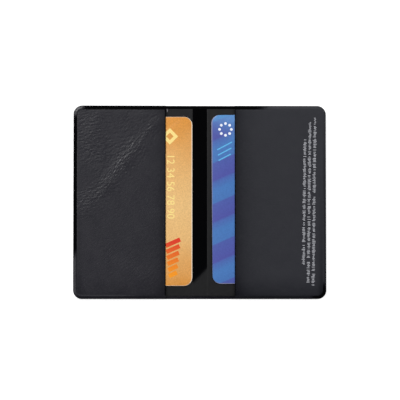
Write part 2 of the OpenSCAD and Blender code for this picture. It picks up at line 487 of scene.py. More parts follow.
def magnetic_tape():
    """Oxide tape under a thin lacquer: dark brown-black with a low shine."""
    return toothed("magnetic_tape", linear("1a1614"), 0.38, tooth=(200, 3000, 200), depth=0.003)


def signature_film():
    """Matt white film that takes ink: a soft paper-like tooth."""
    return toothed("signature_film", linear("e9e9e4"), 0.75, tooth=(2500, 2500, 2500), depth=0.01)


def card_core():
    """White PVC core of a card, punched at the edge: clean white with a little tooth."""
    return toothed("card_core", linear("efe9e2"), 0.45, tooth=(1800, 1800, 1800), depth=0.006)


def screen_ink(name, colour, roughness=0.45):
    """Thick screen printed ink: an opaque, slightly raised colour with a soft tooth."""
    return toothed(name, colour, roughness, tooth=(1500, 1500, 1500), depth=0.005)


def contact_plating():
    """Gold plated contact fields, parted by thin lines where the resin shows."""
    material, tree = start_material("contact_plating")
    place = add(tree, "TexCoord").outputs["Object"]
    # This many fields make a metre, so that one is 3.3 by 2.4 mm.
    grid = add(tree, "Mapping", {"Vector": place, "Scale": (300, 420, 0)})
    even = {"Vector": grid, "Scale": 1.0, "Randomness": 0.0}
    fields = add(tree, "TexVoronoi", even, feature="DISTANCE_TO_EDGE")
    line = add(tree, "MapRange", {"Value": fields, "From Min": 0.03, "From Max": 0.05})
    colours = {"Factor": line, "A": rgba(linear("5d5138")), "B": rgba(linear("d2a94e"))}
    colour = add(tree, "Mix", colours, data_type="RGBA")
    bump = add(tree, "Bump", {"Strength": 0.6, "Distance": 0.03 * MM, "Height": line})
    look = {"Base Color": colour, "Roughness": 0.3, "Metallic": 1.0, "Normal": bump}
    return close_material(material, look)


def card_place(tree, node):
    """Object coordinates in millimetres, from the card's middle."""
    low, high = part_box(node)
    place = add(tree, "TexCoord").outputs["Object"]
    from_middle = {"Vector": place, "Location": tuple((low + high) / 2), "Scale": (MM, MM, MM)}
    return add(tree, "Mapping", from_middle, vector_type="TEXTURE")


def ink_mask(tree, place, long_share, end_share):
    """1 on the printed face and 0 on the lighter edge band, a painted highlight, from the distance to
    the card's outline. The shares say how much of the band's full width shows at the long sides and
    at the ends."""
    wanted = bpy.context.scene.cards
    radius, width = wanted.corner_radius / MM, wanted.edge_width / MM
    blur = 0.04
    lit_band, shift = width * long_share, width * (long_share - end_share)
    corner = (CARD_HALF.x - radius, CARD_HALF.y - radius + shift, 0)
    flat = add(tree, "VectorMath", {0: place, 1: (1, 1, 0)}, operation="MULTIPLY")
    mirrored = add(tree, "VectorMath", {0: flat}, operation="ABSOLUTE")
    past = add(tree, "VectorMath", {0: mirrored, 1: corner}, operation="SUBTRACT")
    outside = add(tree, "VectorMath", {0: past, 1: (0, 0, 0)}, operation="MAXIMUM")
    reach = add(tree, "VectorMath", {0: outside}, operation="LENGTH")
    edge = {"Value": reach, "From Min": radius - lit_band + blur, "From Max": radius - lit_band - blur}
    return add(tree, "MapRange", edge)


def printed_card(material, tree, place, colour, edge_light_colour, edge_light_shares):
    """Offset print under a clear overlay: even colour, a satin shine and a lighter edge band that is a
    painted highlight.
    """
    mask = ink_mask(tree, place, *edge_light_shares)
    face = add(tree, "Mix", {"Factor": mask, "A": rgba(edge_light_colour), "B": colour}, data_type="RGBA")
    noise = add(tree, "TexNoise", {"Vector": place, "Scale": 1 / 8.0, "Detail": 2.0})
    bump = add(tree, "Bump", {"Strength": 0.3, "Distance": 0.05 * MM, "Height": noise})
    look = {"Base Color": face, "Roughness": 0.28, "IOR": 1.5, "Normal": bump}
    return close_material(material, look)


def set_stops(ramp, ends, other, shares):
    """Sets a colour ramp that has one colour at both ends. shares gives places along it and how
    much of the other colour there is at each."""
    stops = ramp.color_ramp.elements
    for stop, position in zip(stops, (0.0, 1.0)):
        stop.position, stop.color = position, rgba(ends)
    for position, share in shares:
        stops.new(position).color = rgba([a + (b - a) * share for a, b in zip(ends, other)])


def flecked(tree, place, colour, width, darkest, brightest):
    """A colour whose brightness varies in flecks of a width in millimetres."""
    flecks = add(tree, "TexNoise", {"Vector": place, "Scale": 1 / width, "Detail": 1.0})
    glint = add(
        tree,
        "MapRange",
        {"Value": flecks, "From Min": 0.25, "From Max": 0.75, "To Min": darkest, "To Max": brightest},
    )
    return add(tree, "VectorMath", {0: colour, "Scale": glint}, operation="SCALE")


def gold_print():
    """Pearl ink: warm gold that deepens towards the short ends, with the grain of its flakes."""
    wanted = bpy.context.scene.cards
    material, tree = start_material("gold_print")
    place = card_place(tree, "gold_card_front")
    height = add(tree, "SeparateXYZ", {0: place}).outputs["Y"]
    drift = add(tree, "TexNoise", {"Vector": place, "Scale": 1 / 14.0, "Detail": 1.0})
    along = add(tree, "Math", {0: drift, 1: 12.0, 2: height}, operation="MULTIPLY_ADD")
    share = add(tree, "MapRange", {"Value": along, "From Min": -40.0, "From Max": 52.0})
    blend = add(tree, "ValToRGB", {0: share})
    shares = ((0.14, 0.35), (0.3, 0.85), (0.5, 1.0), (0.72, 0.6), (0.9, 0.15))
    set_stops(blend, wanted.gold_end, wanted.gold_middle, shares)
    # The flakes of the pearl ink are drawn about ten times their true size, so that they show.
    colour = flecked(tree, place, blend, width=0.45, darkest=0.86, brightest=1.12)
    # The pale edge band is a painted highlight.
    return printed_card(material, tree, place, colour, linear("fff0dc"), (1.0, 0.35))


def blue_print():
    """Offset print in slanting bands that fade between blue and violet."""
    wanted = bpy.context.scene.cards
    slant, band_width = math.radians(-24), 19.0
    material, tree = start_material("blue_print")
    place = card_place(tree, "blue_card_front")
    slanted = add(tree, "Mapping", {"Vector": place, "Rotation": (0, 0, slant)})
    height = add(tree, "SeparateXYZ", {0: slanted}).outputs["Y"]
    step = add(tree, "Math", {0: height, 1: band_width}, operation="DIVIDE")
    part = add(tree, "Math", {0: step}, operation="FRACT")
    blend = add(tree, "ValToRGB", {0: part})
    shares = ((0.42, 0.2), (0.45, 0.9), (0.75, 1.0), (0.96, 0.45))
    set_stops(blend, wanted.violet_band, wanted.blue_band, shares)
    # The bands fade out towards the card's upper end, where a lighter blue glows through.
    axes = add(tree, "SeparateXYZ", {0: place}).outputs
    rise = add(tree, "Math", {0: axes["X"], 1: 0.6, 2: axes["Y"]}, operation="MULTIPLY_ADD")
    glow = add(
        tree,
        "MapRange",
        {"Value": rise, "From Min": 16.0, "From Max": 34.0, "To Max": 0.55},
        interpolation_type="SMOOTHSTEP",
    )
    lit = add(tree, "Mix", {"Factor": glow, "A": blend, "B": rgba(linear("5ba5db"))}, data_type="RGBA")
    # The screen's dots are drawn several times their true size, so that they show.
    colour = flecked(tree, place, lit, width=0.8, darkest=0.93, brightest=1.07)
    # The lighter edge band is a painted highlight.
    return printed_card(material, tree, place, colour, linear("8486a6"), (0.7, 0.5))


def graded_red_ink():
    """Printed ink whose colour runs from red at the top to orange at the foot of the gold card."""
    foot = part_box("gold_card_front")[0].y
    material, tree = start_material("graded_red_ink")
    place = add(tree, "TexCoord").outputs["Object"]
    height = add(tree, "SeparateXYZ", {0: place}).outputs["Y"]
    share = add(tree, "MapRange", {"Value": height, "From Min": foot + 5 * MM, "From Max": foot + 22 * MM})
    colours = {"Factor": share, "A": rgba(linear("f79a1e")), "B": rgba(linear("de3a22"))}
    colour = add(tree, "Mix", colours, data_type="RGBA")
    return close_material(material, {"Base Color": colour, "Roughness": 0.4})


def slack(x, y, seed, height):
    """Height of the long, shallow waves in a sheet that isn't stretched flat."""
    longest = 20
    draw = np.random.default_rng(seed)
    total = np.zeros_like(x)
    for _ in range(14):
        length = draw.uniform(7, longest)
        angle = draw.uniform(0, math.pi)
        shift = draw.uniform(0, 2 * math.pi)
        along = x * math.cos(angle) + y * math.sin(angle)
        total += height * length / longest * np.sin(2 * math.pi * along / length + shift)
    return total


# The fine creases of the left pocket sheet, in families. Each is strewn beside a line: its two
# ends, the spread to each side, the creases' heading in degrees, how many there are, their mean
# length and their depth as a share of the deepest.
CREASE_FAMILIES = (
    ((-49.3, 6.3), (-24, 38.8), 2.8, 44, 440, 1.5, 0.5),
    ((-46.3, 10.3), (-31.5, 29.5), 3.4, 42, 330, 1.4, 0.52),
    ((-62, -1.5), (-47.5, 7.4), 3.6, 20, 170, 2.0, 0.42),
    ((-60, 44), (-50, 20), 7.0, 8, 380, 1.4, 0.66),
    ((-40, 40), (-22, 46), 3.0, 38, 90, 2.4, 0.45),
    ((-60, 26), (-34, -10), 8.0, 62, 280, 1.8, 0.3),
    ((-52, -16), (-28, -8), 7.0, 28, 40, 5.0, 0.2),
    ((-46, -30), (-22, -38), 5.0, 35, 36, 5.0, 0.24),
)
# Lines that the sheet is marked along: their two ends and how far from them the mark fades out.
FOLD_MARK = ((-47.3, 8.3), (-32.3, 28.5), 3.7)
CREASED_MIDDLE = ((-46.3, 10.3), (-32.3, 28.5), 3.4)
CREASED_ENDS = ((-50.3, 4.3), (-23, 40.8), 2.2)
CREASED_FOOT = ((-46, -26), (-28, -36), 7.0)
FANNED_SIDE = ((-62, -3), (-50, 6), 6.0)
FANNED_TOP = ((-58, 42), (-54, 24), 8.0)


def run_of(first, last):
    """The length of the line between two points, and its direction."""
    run = math.hypot(last[0] - first[0], last[1] - first[1])
    return run, (last[0] - first[0]) / run, (last[1] - first[1]) / run


def wrinkles(x, y):
    """Height of the fine creases in the left pocket sheet: a furrow with a ridge on one side."""
    deepest = bpy.context.scene.sleeve.wrinkle_depth / MM
    lowest, highest = -0.22, 0.14
    draw = np.random.default_rng(11)
    height = np.zeros_like(x)
    for first, last, spread, heading, count, length, share in CREASE_FAMILIES:
        run, ahead_x, ahead_y = run_of(first, last)
        for _ in range(count):
            along, aside = draw.uniform(0, run), draw.normal(0, spread)
            middle_x = first[0] + ahead_x * along - ahead_y * aside
            middle_y = first[1] + ahead_y * along + ahead_x * aside
            angle = math.radians(heading + draw.normal(0, 11))
            reach = length * draw.uniform(0.35, 0.8)
            width = draw.uniform(0.32, 0.46)
            bow = draw.normal(0, 0.03)
            u = (x - middle_x) * math.cos(angle) + (y - middle_y) * math.sin(angle)
            v = (y - middle_y) * math.cos(angle) - (x - middle_x) * math.sin(angle) + bow * u**2
            window = np.clip(1 - (u / reach) ** 2, 0, 1)
            fold = 0.8 * ridge(v, 1.4 * width, width) - ridge(v, 0, width)
            height += deepest * share * draw.uniform(0.4, 1.0) * window * fold
    return np.clip(height, lowest, highest)


def along_line(x, y, first, last, width):
    """1 on the line between two points, fading out with the distance from it."""
    run, ahead_x, ahead_y = run_of(first, last)
    along = np.clip((x - first[0]) * ahead_x + (y - first[1]) * ahead_y, 0, run)
    away = np.hypot(x - first[0] - along * ahead_x, y - first[1] - along * ahead_y)
    return ridge(away, 0, width)


def creased(x, y):
    """Where the left pocket sheet is finely creased along its main fold mark."""
    ends, middle, foot = (along_line(x, y, *line) for line in (CREASED_ENDS, CREASED_MIDDLE, CREASED_FOOT))
    return np.maximum.reduce([0.6 * ends, middle, 0.3 * foot])


def fanned(x, y):
    """Where finer creases fan out beside the fold mark, towards the outer edge."""
    return np.maximum(along_line(x, y, *FANNED_SIDE), 0.8 * along_line(x, y, *FANNED_TOP))


def embossed_relief(x, y):
    """Height of the creases, waves and fold mark in the left pocket sheet."""
    return wrinkles(x, y) + slack(x, y, seed=5, height=0.012) + 0.1 * along_line(x, y, *FOLD_MARK)


def smooth_relief(x, y):
    """Height of the waves in the right pocket sheet, which lies flat under its print."""
    return slack(x, y, seed=8, height=0.006) * (1 - smooth(x, 45, 51))


def seat(x, y, gap):
    """Height at which a pocket sheet lies on the weld: lower under the pressed band."""
    return POCKET_LOW - 0.3 * (1 - smooth(gap, WELD_W - 0.3, WELD_W))


def press_shine(x, y):
    """How glossy the tool left the margin: mirror black along the top and the upper left side and in
    the lower right corner, duller at the upper left corner and along the foot. The black is partly
    painted shade, as the material darkens its colour where this gloss is high."""
    # The glossy stretch with its painted black ends along a slanting line, which meets the top edge here.
    line_end, off_line = 34.5, (-0.613, 0.79)
    upper_left = smooth(off_line[1] * (y - HALF_H) + off_line[0] * (x - line_end), -3.0, 3.0)
    dull_corner = 1 - 0.75 * (1 - smooth(np.hypot(x + HALF_W, y - HALF_H), 4.0, 7.0))
    corner = 1 - smooth(np.hypot(x - HALF_W, y + HALF_H), 6.0, 10.0)
    foot = (0.45 + 0.15 * smooth(x, -15, 10)) * smooth(-y, HALF_H - 3, HALF_H - 1)
    outer = (0.15 + 0.25 * smooth(-y, -HALF_H, 0)) * smooth(x, HALF_W - 1.9, HALF_W - 0.7)
    return np.maximum.reduce([upper_left * dull_corner, corner, foot, outer])


def margin_drop(x, y, gap):
    """How far the pressed margin lies below the pocket sheet. Where the tool left it mirror smooth
    it is a flat band with a shoulder, and elsewhere a slope with a shallow groove inside it."""
    drop = bpy.context.scene.sleeve.band_drop / MM
    flat = drop * (1 - smooth(gap, WELD_W - 0.2, WELD_W + 0.95)) + 0.05 * np.maximum(WELD_W - gap, 0)
    slope = 1.5 * drop * (1 - np.clip(gap / WELD_W, 0, 1) ** 1.5)
    groove = 0.02 * ridge(gap - WELD_W, 0.55, 0.45)
    lip = 0.07 * ridge(gap - WELD_W, 0.1, 0.35)
    shallow = 1 - 0.7 * smooth(x, HALF_W - 4, HALF_W - 1.5)
    mirror = press_shine(x, y) ** 2
    left_foot = smooth(-y, HALF_H - 5, HALF_H - 3) * smooth(-x, 18, 42)
    plain = shallow * slope * (1 - 0.8 * left_foot) + groove - lip * left_foot
    return shallow * flat * mirror + plain * (1 - mirror)


def pocket_sheet(side, material, relief, step, past_weld, worn_shade, worn_shade_reach, foot_wear_shade, masks=None):
    """A pocket sheet: a flat face over the card, a shoulder down to the pressed margin, a rounded
    cut edge and a mouth that handling has made smoother. past_weld is how far the tool's gloss
    goes past the weld, worn how glossy the mouth is, worn_shade_reach over what distance that fades,
    and foot_wear_shade how glossy the sheet is at its lower end. This gloss is wear, and through the
    material's darker colour where glossy it is also painted shade."""
    mouth = MOUTH[side]

    def high(x, y, gap):
        inside = smooth(gap, WELD_W, WELD_W + 3) * smooth(np.abs(x) - mouth, 0, 2.5)
        return POCKET_TOP - margin_drop(x, y, gap) - cut_edge(gap, 0.07) + inside * relief(x, y)

    def gloss_and_shade(x, y, gap):
        pressed_in = WELD_W + past_weld + 0.2 * smooth(y, HALF_H - 6, HALF_H - 3)
        margin = 1 - smooth(gap, pressed_in, pressed_in + 0.4)
        reach = np.abs(x) - mouth
        cut = 1 - smooth(reach, 0.25, 0.6)
        # Handling makes the mouth and the foot glossier; their darker colour there is painted shade.
        worn_and_shaded = worn_shade * np.exp(-reach / worn_shade_reach) + foot_wear_shade * smooth(-y, HALF_H - 14, HALF_H)
        # Painted shade towards the lower outer corners and along the right edge, through a darker and
        # glossier face.
        worn_and_shaded += 0.15 * smooth(np.abs(x), HALF_W - 6, HALF_W - 2) * smooth(-y, 0, HALF_H - 10)
        worn_and_shaded += 0.13 * smooth(x, HALF_W - 4.2, HALF_W - 2.6) * smooth(-y, -25, 5)
        left_foot = smooth(-y, HALF_H - 6, HALF_H - 3) * smooth(-x, 25, 45)
        # A painted light line: the gloss and its darkening are taken off in a narrow band inside the weld
        # at the left foot.
        bright = 1 - ridge(gap - WELD_W, 0.35, 0.35) * left_foot
        shine = margin * press_shine(x, y) * bright + (1 - margin) * np.maximum(worn_and_shaded * bright, cut)
        # Painted shade along the left margin.
        left_side = 0.35 * ridge(gap - WELD_W, 0.15, 0.35) * smooth(-x, HALF_W - 3, HALF_W - 2)
        return np.clip(np.maximum(shine, left_side), 0, 1)

    half = HALF_NAME[side]
    columns = graded(mouth, (mouth + 0.8, 0.2), (HALF_W - 2.6, step), (HALF_W - 0.2, 0.15), (HALF_W, 0.05))
    piece = half_sheet(f"pocket_sheet_{half}", side, columns, step, 0, seat, high, material, gloss_and_shade, masks)
    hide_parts(f"pocket_{half}")
    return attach(piece, f"{half}_half")


def highlight_bead():
    """A short pale bead beside the left pocket's mouth: a painted highlight on a small ridge by the weld.
    """
    half_size = (0.3, 0.85, 0.14)
    middle = Vector((-MOUTH[-1] + 0.75, HALF_H - WELD_W - 1.0, LINING_TOP + 0.02))
    shape = bmesh.new()
    bmesh.ops.create_uvsphere(shape, u_segments=24, v_segments=12, radius=1.0)
    bmesh.ops.scale(shape, vec=half_size, verts=shape.verts)
    points = [tuple(v.co + middle) for v in shape.verts]
    faces = [[v.index for v in face.verts] for face in shape.faces]
    shape.free()
    piece = mesh_piece("highlight_bead", points, faces, highlight_pvc())
    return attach(piece, "left_half")


def across_fold(piece):
    """Bakes a sheet's place into its mesh."""
    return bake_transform(piece)


def layer(part, side, columns, row_step, inset, low, high, material, gloss_and_shade=0.0):
    """One sheet of the laminate over a half and its share of the spine."""
    half = HALF_NAME[side]
    piece = half_sheet(f"{part}_sheet_{half}", side, columns, row_step, inset, low, high, material, gloss_and_shade)
    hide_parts(f"{part}_{half}", f"{part}_spine")
    return across_fold(piece)


def crease_line(x):
    """Depth of the pressed crease line at a distance from the spine's middle."""
    return bpy.context.scene.sleeve.crease_depth / MM * ridge(np.abs(x), CREASE, 0.22)


def cover_sheet(side, material):
    """The outer cover: embossed outside, with the weld's mark round its edge and a crease."""

    def low(x, y, gap):
        mark = 0.07 * (1 - smooth(gap, WELD_W - 0.2, WELD_W + 0.3))
        return mark + cut_edge(gap) + crease_line(x)

    def gloss_and_shade(x, y, gap):
        return 0.55 * (1 - smooth(gap, WELD_W - 0.1, WELD_W + 0.2))

    columns = fold_columns(HALF_W - 2.4, 2.0, (HALF_W - 0.2, 0.2), (HALF_W, 0.05))
    return layer("cover", side, columns, 2.0, 0, low, COVER_TOP, material, gloss_and_shade)


def foil_sheet(side, material):
    """The shielding foil between cover and lining, kept clear of the weld."""
    columns = fold_columns(HALF_W - FOIL_INSET, 4.0)
    return layer("foil", side, columns, 4.0, FOIL_INSET, COVER_TOP, LINING_LOW, material)


def lining_sheet(side, material):
    """The lining, with the spine pressed glossy and painted near black as a dark reflection. The gloss
    and this painted shade stop short of the spine's lower end along a slanting line."""

    def high(x, y, gap):
        return LINING_TOP - crease_line(x)

    def gloss_and_shade(x, y, gap):
        spine = 1 - smooth(np.abs(x), CREASE - 0.25, CREASE + 0.05)
        # Painted shade: the spine's gloss and its near-black colour end along this slanting line.
        pressed = smooth(y - x, -38.6, -35.0)
        rim = press_shine(x, y) * (1 - smooth(gap, WELD_W + 0.1, WELD_W + 0.35))
        return np.maximum(spine * pressed, rim)

    columns = fold_columns(MOUTH[side] + 2, 1.5, (HALF_W - WELD_W, 5.0))
    return layer("lining", side, columns, 0.8, WELD_W, LINING_LOW, high, material, gloss_and_shade)


def weld_band(side, material):
    """The welded margin, swept round the outline: low beside the open strip and as high as the
    pocket sheet's underside along the pocket."""
    half, mouth = HALF_NAME[side], MOUTH[side]
    radius = bpy.context.scene.sleeve.corner_radius / MM
    # Each point of the path is its place on the outline and the direction outwards from there.
    along_top = fold_columns(mouth - 0.02, 1.0) + graded(mouth, (HALF_W - radius, 2.5))
    quarter = [(x, HALF_H, 0.0, 1.0) for x in along_top]
    for angle in ARC[:-1]:
        out_x, out_y = math.sin(angle), math.cos(angle)
        quarter.append((HALF_W - radius + radius * out_x, HALF_H - radius + radius * out_y, out_x, out_y))
    quarter += [(HALF_W, y, 1.0, 0.0) for y in graded(HALF_H - radius, (0, 3.0))]
    path = np.array(quarter + [(x, -y, out_x, -out_y) for x, y, out_x, out_y in reversed(quarter[:-1])])
    across = np.array(graded(0, (0.2, 0.05), (WELD_W - 0.3, 0.3), (WELD_W, 0.06)))
    gap = np.tile(across, (len(path), 1))
    x = side * (path[:, 0:1] - path[:, 2:3] * gap)
    y = path[:, 1:2] - path[:, 3:4] * gap
    strip = LINING_TOP - 0.06 * (1 - smooth(gap, WELD_W - 0.3, WELD_W)) - cut_edge(gap, 0.08)
    top = np.where(np.abs(path[:, 0:1]) >= mouth, seat(x, y, gap), strip)
    floor = np.full_like(top, COVER_TOP)
    piece = shell(f"weld_band_{half}", x, y, floor, top, material, {"gloss_and_shade": press_shine(x, y)})
    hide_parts(f"weld_{half}", "weld_spine")
    return across_fold(piece)


def card_front(card, print_material, core_material):
    """A card's front sheet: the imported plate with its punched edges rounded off."""
    source = frame["nodes"][f"{card}_front"]
    mesh = source.data.copy()
    mesh.name = f"{card}_face"
    mesh.materials.clear()
    mesh.transform(source.matrix_world)
    shape = bmesh.new()
    shape.from_mesh(mesh)
    bmesh.ops.remove_doubles(shape, verts=shape.verts, dist=1e-6)
    bmesh.ops.dissolve_limit(shape, angle_limit=math.radians(1), verts=shape.verts, edges=shape.edges)
    top = max(v.co.z for v in shape.verts)
    upper = [e for e in shape.edges if all(v.co.z > top - 1e-6 for v in e.verts)]
    bmesh.ops.bevel(
        shape,
        geom=[e for e in upper if e.calc_face_angle(0) > math.radians(60)],
        offset=bpy.context.scene.cards.edge_round,
        offset_type="OFFSET",
        segments=2,
        profile=0.5,
        affect="EDGES",
        clamp_overlap=True,
    )
    bmesh.ops.triangulate(shape, faces=shape.faces)
    bmesh.ops.recalc_face_normals(shape, faces=shape.faces)
    for face in shape.faces:
        face.material_index = 0 if face.normal.z > 0.3 else 1
    shade(shape)
    shape.to_mesh(mesh)
    shape.free()
    mesh.materials.append(print_material)
    mesh.materials.append(core_material)
    return new_object(f"{card}_face", mesh)


def paint(node, material):
    """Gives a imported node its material."""
    mesh = frame["nodes"][node].data
    mesh.materials.clear()
    mesh.materials.append(material)


def finish_card(card, print_material):
    """Makes a card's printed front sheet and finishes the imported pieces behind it."""
    core = once(bpy.data.materials, card_core)
    piece = card_front(card, print_material, core)
    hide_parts(f"{card}_front")
    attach(piece, card)
    paint(f"{card}_back", core)
    finishes = {"chip": contact_plating, "stripe": magnetic_tape, "signature": signature_film}
    for part, finish in finishes.items():
        paint(f"{card}_{part}", once(bpy.data.materials, finish))


# The kind of socket that an input of a Geometry Nodes tree has, from its default.
SOCKET_KINDS = {float: "NodeSocketFloat", int: "NodeSocketInt", tuple: "NodeSocketVector"}


def node_group(name, inputs):
    """A Geometry Nodes tree with inputs for the named values and for a material."""
    tree = bpy.data.node_groups.new(name, "GeometryNodeTree")
    tree.interface.new_socket("Geometry", in_out="OUTPUT", socket_type="NodeSocketGeometry")
    for label, default in inputs.items():
        socket = tree.interface.new_socket(label, in_out="INPUT", socket_type=SOCKET_KINDS[type(default)])
        socket.default_value = default
    tree.interface.new_socket("Material", in_out="INPUT", socket_type="NodeSocketMaterial")
    return tree, add(tree, "NodeGroupInput").outputs


def close_group(tree, given, shapes):
    """Realizes the instances, gives them the material and links them out."""
    real = add(tree, "GeometryNodeRealizeInstances", {0: shapes})
    painted = add(tree, "GeometryNodeSetMaterial", {"Geometry": real, "Material": given["Material"]})
    add(tree, "NodeGroupOutput", {0: painted})
    return tree


def tick_rows():
    """Rows of small upright ticks with gaps between groups, as wide and as close as fine print."""
    tree, given = node_group(
        "tick_rows",
        {
            "First row": (0, 0, 0),
            "Row pitch": 2.5 * MM,
            "Tick pitch": 0.6 * MM,
            "Tick width": 0.27 * MM,
            "Tick height": 1.12 * MM,
            "Lean": math.tan(math.radians(0.85)),
            "Gap share": 0.15,
            "Seed": 4,
        },
    )
    # Each row starts this far below the first row's top end and is this long, in millimetres.
    rows = ((8.9, 64.0), (0.0, 81.7), (-2.3, 86.3))
    down = add(tree, "CombineXYZ", {0: given["Lean"], 1: 1.0})
    back = add(tree, "Math", {0: given["Tick pitch"], 1: -1.0}, operation="MULTIPLY")
    step = add(tree, "VectorMath", {0: down, "Scale": back}, operation="SCALE")
    lines = []
    for number, (start, length) in enumerate(rows):
        aside = add(tree, "Math", {0: given["Row pitch"], 1: float(number)}, operation="MULTIPLY")
        across = add(tree, "CombineXYZ", {0: aside})
        head = add(tree, "VectorMath", {0: given["First row"], 1: across}, operation="ADD")
        lower = {0: down, 1: metres(-start, -start, 0), 2: head}
        place = add(tree, "VectorMath", lower, operation="MULTIPLY_ADD")
        count = add(tree, "Math", {0: length * MM, 1: given["Tick pitch"]}, operation="DIVIDE")
        line = {"Count": count, "Start Location": place, "Offset": step}
        lines.append(add(tree, "GeometryNodeMeshLine", line))
    joined = add(tree, "GeometryNodeJoinGeometry")
    for line in reversed(lines):
        tree.links.new(line.outputs[0], joined.inputs[0])
    seed = given["Seed"]
    least, most = metres(-0.22, -0.1, 0), metres(0.22, 0.1, 0)
    sway = add(
        tree,
        "FunctionNodeRandomValue",
        {"Min": least, "Max": most, "Seed": seed},
        data_type="FLOAT_VECTOR",
    )
    uneven = add(tree, "GeometryNodeSetPosition", {"Geometry": joined, "Offset": sway})
    chance = add(tree, "FunctionNodeRandomValue", {"Min": 0.0, "Max": 1.0, "Seed": seed}, data_type="FLOAT")
    kept = add(
        tree,
        "FunctionNodeCompare",
        {"A": chance, "B": given["Gap share"]},
        data_type="FLOAT",
        operation="GREATER_THAN",
    )
    other_seed = add(tree, "Math", {0: seed, 1: 1.0}, operation="ADD")
    heights = {"Min": 0.62, "Max": 1.5, "Seed": other_seed}
    tall = add(tree, "FunctionNodeRandomValue", heights, data_type="FLOAT")
    size = add(tree, "CombineXYZ", {0: given["Tick height"], 1: given["Tick width"], 2: INK})
    tick = add(tree, "GeometryNodeMeshCube", {"Size": size})
    stretch = add(tree, "CombineXYZ", {0: tall, 1: 1.0, 2: 1.0})
    ticks = {"Points": uneven, "Selection": kept, "Instance": tick, "Scale": stretch}
    return close_group(tree, given, add(tree, "GeometryNodeInstanceOnPoints", ticks))


def slanted_bars():
    """A stack of slanted bars down a strip, each a little shorter than the one above."""
    tree, given = node_group(
        "slanted_bars",
        {
            "Bars": 6,
            "First": (0, 0, 0),
            "Pitch": 3.2 * MM,
            "Bar length": 8.0 * MM,
            "Bar width": 2.2 * MM,
            "Slant": math.radians(24),
        },
    )
    back = add(tree, "Math", {0: given["Pitch"], 1: -1.0}, operation="MULTIPLY")
    step = add(tree, "CombineXYZ", {1: back})
    line = {"Count": given["Bars"], "Start Location": given["First"], "Offset": step}
    places = add(tree, "GeometryNodeMeshLine", line)
    size = add(tree, "CombineXYZ", {0: given["Bar length"], 1: given["Bar width"], 2: INK})
    bar = add(tree, "GeometryNodeMeshCube", {"Size": size})
    turn = add(tree, "CombineXYZ", {2: given["Slant"]})
    order = add(tree, "GeometryNodeInputIndex")
    shorter = add(tree, "Math", {0: order, 1: -0.09, 2: 1.0}, operation="MULTIPLY_ADD")
    stretch = add(tree, "CombineXYZ", {0: shorter, 1: 1.0, 2: 1.0})
    bars = {"Points": places, "Instance": bar, "Rotation": turn, "Scale": stretch}
    return close_group(tree, given, add(tree, "GeometryNodeInstanceOnPoints", bars))


def dot_ring():
    """A ring of flat round dots."""
    tree, given = node_group(
        "dot_ring",
        {"Dots": 8, "Middle": (0, 0, 0), "Ring radius": 3.0 * MM, "Dot radius": 0.7 * MM},
    )
    ring = add(tree, "GeometryNodeMeshCircle", {"Vertices": given["Dots"], "Radius": given["Ring radius"]})
    placed = add(tree, "GeometryNodeTransform", {"Geometry": ring, "Translation": given["Middle"]})
    round_dot = {"Vertices": 20, "Radius": given["Dot radius"], "Depth": INK}
    dot = add(tree, "GeometryNodeMeshCylinder", round_dot)
    dots = add(tree, "GeometryNodeInstanceOnPoints", {"Points": placed, "Instance": dot})
    return close_group(tree, given, dots)


def plain_mesh(name, source):
    """The mesh that an object comes to once evaluated. The object itself goes."""
    graph = bpy.context.evaluated_depsgraph_get()
    mesh = bpy.data.meshes.new_from_object(source.evaluated_get(graph), depsgraph=graph)
    mesh.name = name
    source.modifiers.clear()
    bpy.data.objects.remove(source)
    return mesh


def from_nodes(name, tree, values):
    """Runs a Geometry Nodes tree once and keeps the result as a plain mesh."""
    carrier = new_object(f"{name}_carrier", bpy.data.meshes.new(f"{name}_carrier"))
    modifier = carrier.modifiers.new("made", "NODES")
    modifier.node_group = tree
    ids = {s.name: s.identifier for s in tree.interface.items_tree if s.in_out == "INPUT"}
    for label, value in values.items():
        modifier[ids[label]] = value
    return new_object(name, plain_mesh(name, carrier))


def printed_on(piece, body):
    """A printed motif rides with what it is printed on."""
    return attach(piece, body)


def digits(name, words, height, place, material):
    """Plain figures as a thin flat mesh that reads downwards, set at a place in millimetres."""
    curve = bpy.data.curves.new(name, "FONT")
    curve.body = words
    curve.size = height * MM
    curve.extrude = INK / 2
    curve.align_x, curve.align_y = "CENTER", "CENTER"
    mesh = plain_mesh(name, new_object(f"{name}_curve", curve))
    mesh.transform(Matrix.Translation(Vector(place) * MM) @ Matrix.Rotation(-math.pi / 2, 4, "Z"))
    mesh.materials.clear()
    mesh.materials.append(material)
    return new_object(name, mesh)


def lozenge(name, middle, reach, hole_reach, low, high, material):
    """A thin flat lozenge with a hole of the same shape, in millimetres."""
    corners = [(math.cos(angle), math.sin(angle)) for angle in np.arange(4) * math.pi / 2]
    points = [
        (middle[0] + size * x, middle[1] + size * y, height)
        for height in (low, high)
        for size in (reach, hole_reach)
        for x, y in corners
    ]
    faces = []
    for i in range(4):
        j = (i + 1) % 4
        # The inner outline follows the outer one by 4 points, and the upper face the lower by 8.
        faces += [
            (i, i + 4, j + 4, j),
            (i + 8, j + 8, j + 12, i + 12),
            (i, j, j + 8, i + 8),
            (i + 4, i + 12, j + 12, j + 4),
        ]
    return mesh_piece(name, points, faces, material)


# The studio's sizes in metres. The floor lies a little under the sleeve, so that their faces don't
# coincide.
FLOOR_REACH = 2.4
FLOOR_CURVE = 0.5
FLOOR_SIDES = 96
FLOOR_GAP = 0.05 * MM
WALL_HEIGHT = 0.9
LAMP_DISTANCE = 1.4
CAMERA_DISTANCE = 1.0

